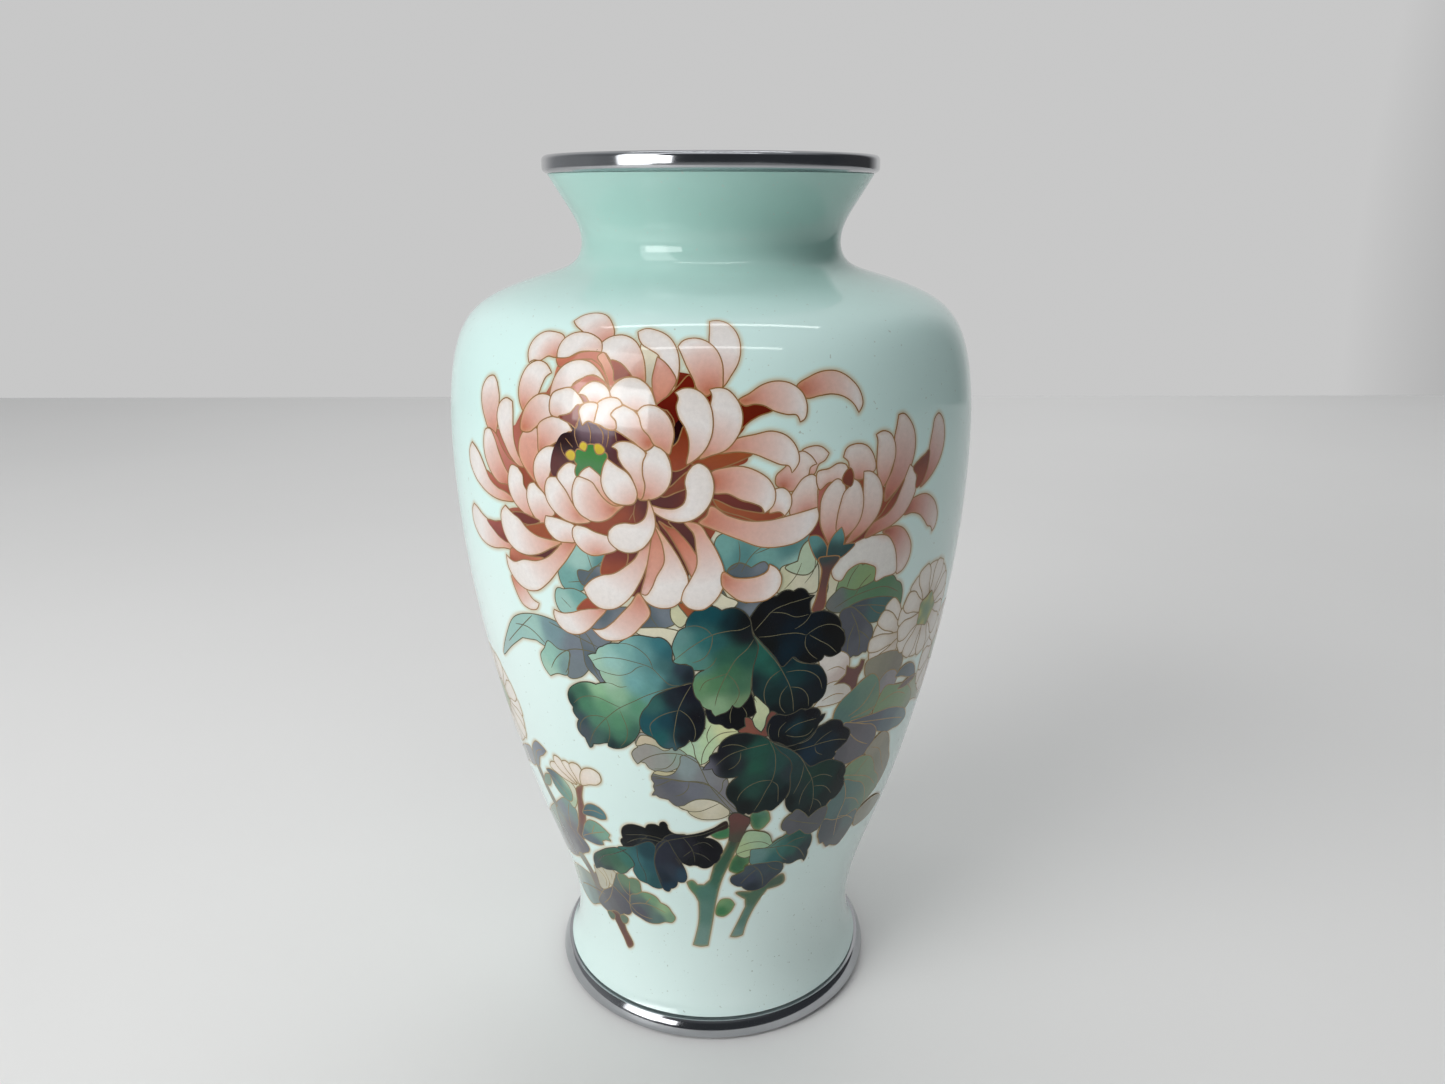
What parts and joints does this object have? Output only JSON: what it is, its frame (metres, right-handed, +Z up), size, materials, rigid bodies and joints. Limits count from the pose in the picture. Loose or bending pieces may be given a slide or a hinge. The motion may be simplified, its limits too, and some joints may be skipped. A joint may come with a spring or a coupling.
{
  "type": "cloisonne vase",
  "caption": "Baluster vase in enamelled copper with a narrow neck, flared mouth, plated mouth and foot rims and inlaid chrysanthemum enamels on a pale mint ground.",
  "frame": {"origin": "centre of the foot rim's underside, on the surface the vase stands on", "axes": "+Z up the vase's axis, decorated front faces -Y, +X to the right seen from the front"},
  "size_m": [0.1446, 0.1446, 0.245],
  "materials": {
    "copper_neck": "spun copper, satin",
    "copper_shoulder": "spun copper, satin",
    "copper_belly": "spun copper, satin",
    "base_plate": "copper sheet, satin",
    "solder_bead": "silver solder",
    "mouth_rim": "polished silver plate",
    "foot_rim": "polished silver plate",
    "ground_enamel": "polished pale mint glass enamel",
    "lining_enamel": "counter-enamel, satin",
    "floor_enamel": "counter-enamel, satin",
    "base_enamel": "mint glass enamel",
    "great_bloom_florets": "polished coloured glass enamel",
    "great_bloom_hollow": "polished coloured glass enamel",
    "great_bloom_inner_petals": "polished coloured glass enamel",
    "great_bloom_outer_petals": "polished coloured glass enamel",
    "side_bloom_calyx": "polished coloured glass enamel",
    "side_bloom_petals": "polished coloured glass enamel",
    "side_bloom_stalk": "polished coloured glass enamel",
    "leaf_crown": "polished coloured glass enamel",
    "leaf_west": "polished coloured glass enamel",
    "leaf_node": "polished coloured glass enamel",
    "leaf_heart": "polished coloured glass enamel",
    "main_stem": "polished coloured glass enamel",
    "second_stem": "polished coloured glass enamel",
    "sprout_low": "polished coloured glass enamel",
    "sprout_mid": "polished coloured glass enamel",
    "sprout_high": "polished coloured glass enamel",
    "leaf_mist": "polished coloured glass enamel",
    "leaf_fold": "polished coloured glass enamel",
    "leaf_shade": "polished coloured glass enamel",
    "leaf_lagoon": "polished coloured glass enamel",
    "leaf_pale": "polished coloured glass enamel",
    "leaf_glade": "polished coloured glass enamel",
    "bract_star": "polished coloured glass enamel",
    "daisy_east_eye": "polished coloured glass enamel",
    "daisy_east": "polished coloured glass enamel",
    "leaf_meadow": "polished coloured glass enamel",
    "daisy_behind": "polished coloured glass enamel",
    "leaf_dusk": "polished coloured glass enamel",
    "leaf_tide": "polished coloured glass enamel",
    "leaf_rim_fold": "polished coloured glass enamel",
    "leaf_low_east": "polished coloured glass enamel",
    "leaf_low_shade": "polished coloured glass enamel",
    "sprig_stem": "polished coloured glass enamel",
    "daisy_west": "polished coloured glass enamel",
    "sprig_leaf_fin": "polished coloured glass enamel",
    "sprig_leaf_fan": "polished coloured glass enamel",
    "sprig_leaf_top": "polished coloured glass enamel",
    "sprig_leaf_wing": "polished coloured glass enamel",
    "sprig_leaf_keel": "polished coloured glass enamel",
    "sprig_leaf_tail": "polished coloured glass enamel",
    "sprig_fold": "polished coloured glass enamel",
    "twig_leaf": "polished coloured glass enamel",
    "daisy_far_eye": "polished coloured glass enamel",
    "daisy_far": "polished coloured glass enamel"
  },
  "bodies": {
    "root": {"copper_neck": "copper_neck", "copper_shoulder": "copper_shoulder", "copper_belly": "copper_belly", "base_plate": "base_plate", "solder_bead": "solder_bead", "mouth_rim": "mouth_rim", "foot_rim": "foot_rim", "ground_enamel": "ground_enamel", "lining_enamel": "lining_enamel", "floor_enamel": "floor_enamel", "base_enamel": "base_enamel", "great_bloom_florets": "great_bloom_florets", "great_bloom_hollow": "great_bloom_hollow", "great_bloom_inner_petals": "great_bloom_inner_petals", "great_bloom_outer_petals": "great_bloom_outer_petals", "side_bloom_calyx": "side_bloom_calyx", "side_bloom_petals": "side_bloom_petals", "side_bloom_stalk": "side_bloom_stalk", "leaf_crown": "leaf_crown", "leaf_west": "leaf_west", "leaf_node": "leaf_node", "leaf_heart": "leaf_heart", "main_stem": "main_stem", "second_stem": "second_stem", "sprout_low": "sprout_low", "sprout_mid": "sprout_mid", "sprout_high": "sprout_high", "leaf_mist": "leaf_mist", "leaf_fold": "leaf_fold", "leaf_shade": "leaf_shade", "leaf_lagoon": "leaf_lagoon", "leaf_pale": "leaf_pale", "leaf_glade": "leaf_glade", "bract_star": "bract_star", "daisy_east_eye": "daisy_east_eye", "daisy_east": "daisy_east", "leaf_meadow": "leaf_meadow", "daisy_behind": "daisy_behind", "leaf_dusk": "leaf_dusk", "leaf_tide": "leaf_tide", "leaf_rim_fold": "leaf_rim_fold", "leaf_low_east": "leaf_low_east", "leaf_low_shade": "leaf_low_shade", "sprig_stem": "sprig_stem", "daisy_west": "daisy_west", "sprig_leaf_fin": "sprig_leaf_fin", "sprig_leaf_fan": "sprig_leaf_fan", "sprig_leaf_top": "sprig_leaf_top", "sprig_leaf_wing": "sprig_leaf_wing", "sprig_leaf_keel": "sprig_leaf_keel", "sprig_leaf_tail": "sprig_leaf_tail", "sprig_fold": "sprig_fold", "twig_leaf": "twig_leaf", "daisy_far_eye": "daisy_far_eye", "daisy_far": "daisy_far"}
  },
  "joints": []
}
